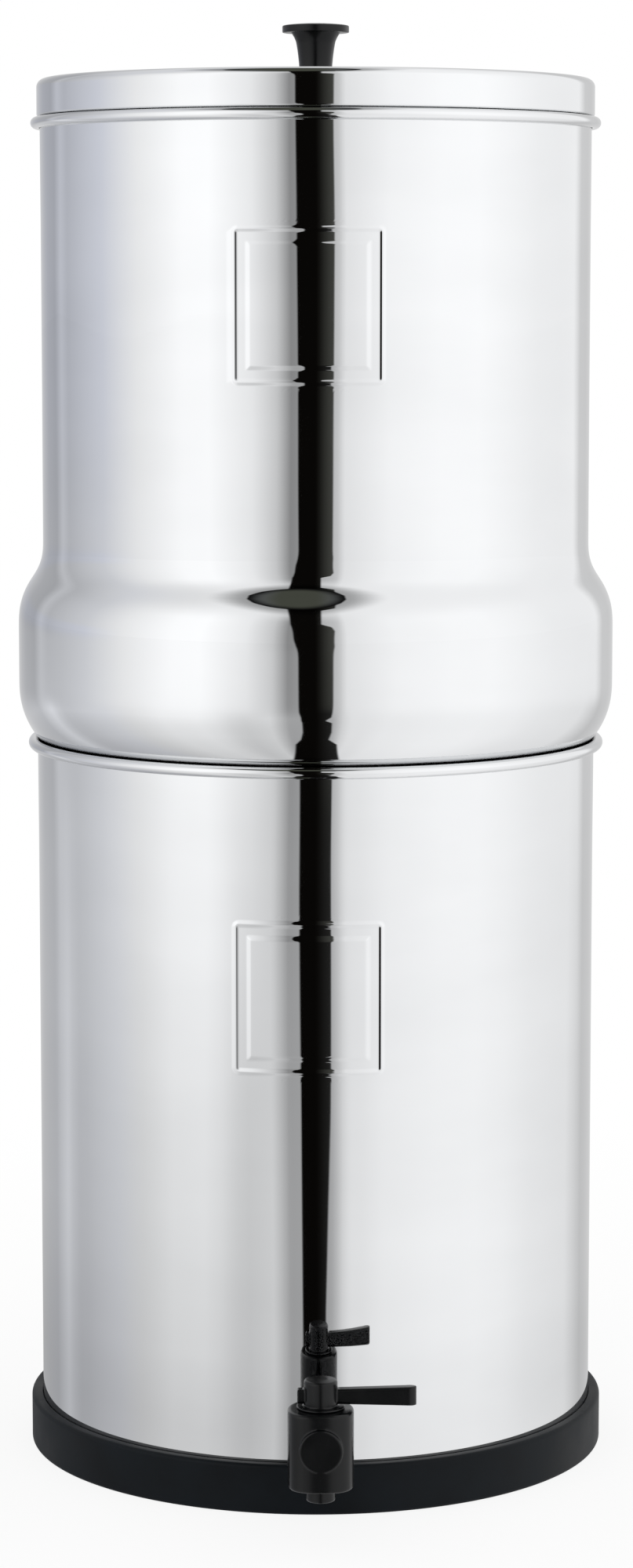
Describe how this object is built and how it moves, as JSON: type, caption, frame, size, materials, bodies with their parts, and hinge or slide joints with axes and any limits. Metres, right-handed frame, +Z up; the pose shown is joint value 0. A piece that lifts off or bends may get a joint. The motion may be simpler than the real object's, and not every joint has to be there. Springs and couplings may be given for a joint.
{
  "type": "gravity water filter",
  "caption": "Two stacked polished steel chambers with ceramic filter candles in the upper one, a lift-off lid with a knob, and a quarter-turn tap near the foot.",
  "frame": {"origin": "on the chambers' vertical axis, at the underside of the base ring", "axes": "+Z up along the chambers' axis, tap towards -Y, lever towards +X when closed"},
  "size_m": [0.2224, 0.2667, 0.5335],
  "materials": {
    "steel": "mirror-polished stainless steel sheet",
    "black_plastic": "satin moulded polypropylene",
    "rubber": "matt moulded rubber",
    "ceramic": "unglazed porous ceramic",
    "candle_plastic": "white moulded plastic",
    "zinc": "zinc-plated steel"
  },
  "bodies": {
    "base_unit": {"base_ring": "rubber", "lower_chamber": "steel", "tap_body": "black_plastic", "tap_washer_outer": "rubber", "tap_washer_inner": "rubber", "tap_back_nut": "black_plastic"},
    "tap_valve": {"tap_plug": "black_plastic", "tap_o_ring_lower": "rubber", "tap_o_ring_upper": "rubber"},
    "filter_unit": {"upper_bowl": "steel", "upper_wall": "steel", "candle_1_ceramic": "ceramic", "candle_1_base": "candle_plastic", "candle_1_washer": "rubber", "candle_1_wing_nut": "candle_plastic", "candle_2_ceramic": "ceramic", "candle_2_base": "candle_plastic", "candle_2_washer": "rubber", "candle_2_wing_nut": "candle_plastic", "candle_3_ceramic": "ceramic", "candle_3_base": "candle_plastic", "candle_3_washer": "rubber", "candle_3_wing_nut": "candle_plastic", "candle_4_ceramic": "ceramic", "candle_4_base": "candle_plastic", "candle_4_washer": "rubber", "candle_4_wing_nut": "candle_plastic"},
    "lid_unit": {"lid": "steel", "lid_knob": "black_plastic", "lid_washer": "zinc", "lid_screw": "zinc"}
  },
  "joints": [
    {"name": "tap_turn", "type": "hinge", "parent": "base_unit", "child": "tap_valve", "pos_m": [0, -0.1424, 0.03205], "axis": [0, 0, -1], "range_deg": [0, 90]},
    {"name": "upper_chamber_lift", "type": "slide", "parent": "base_unit", "child": "filter_unit", "axis": [0, 0, 1], "range_m": [0, 0.06]},
    {"name": "lid_lift", "type": "slide", "parent": "filter_unit", "child": "lid_unit", "axis": [0, 0, 1], "range_m": [0, 0.04]}
  ]
}
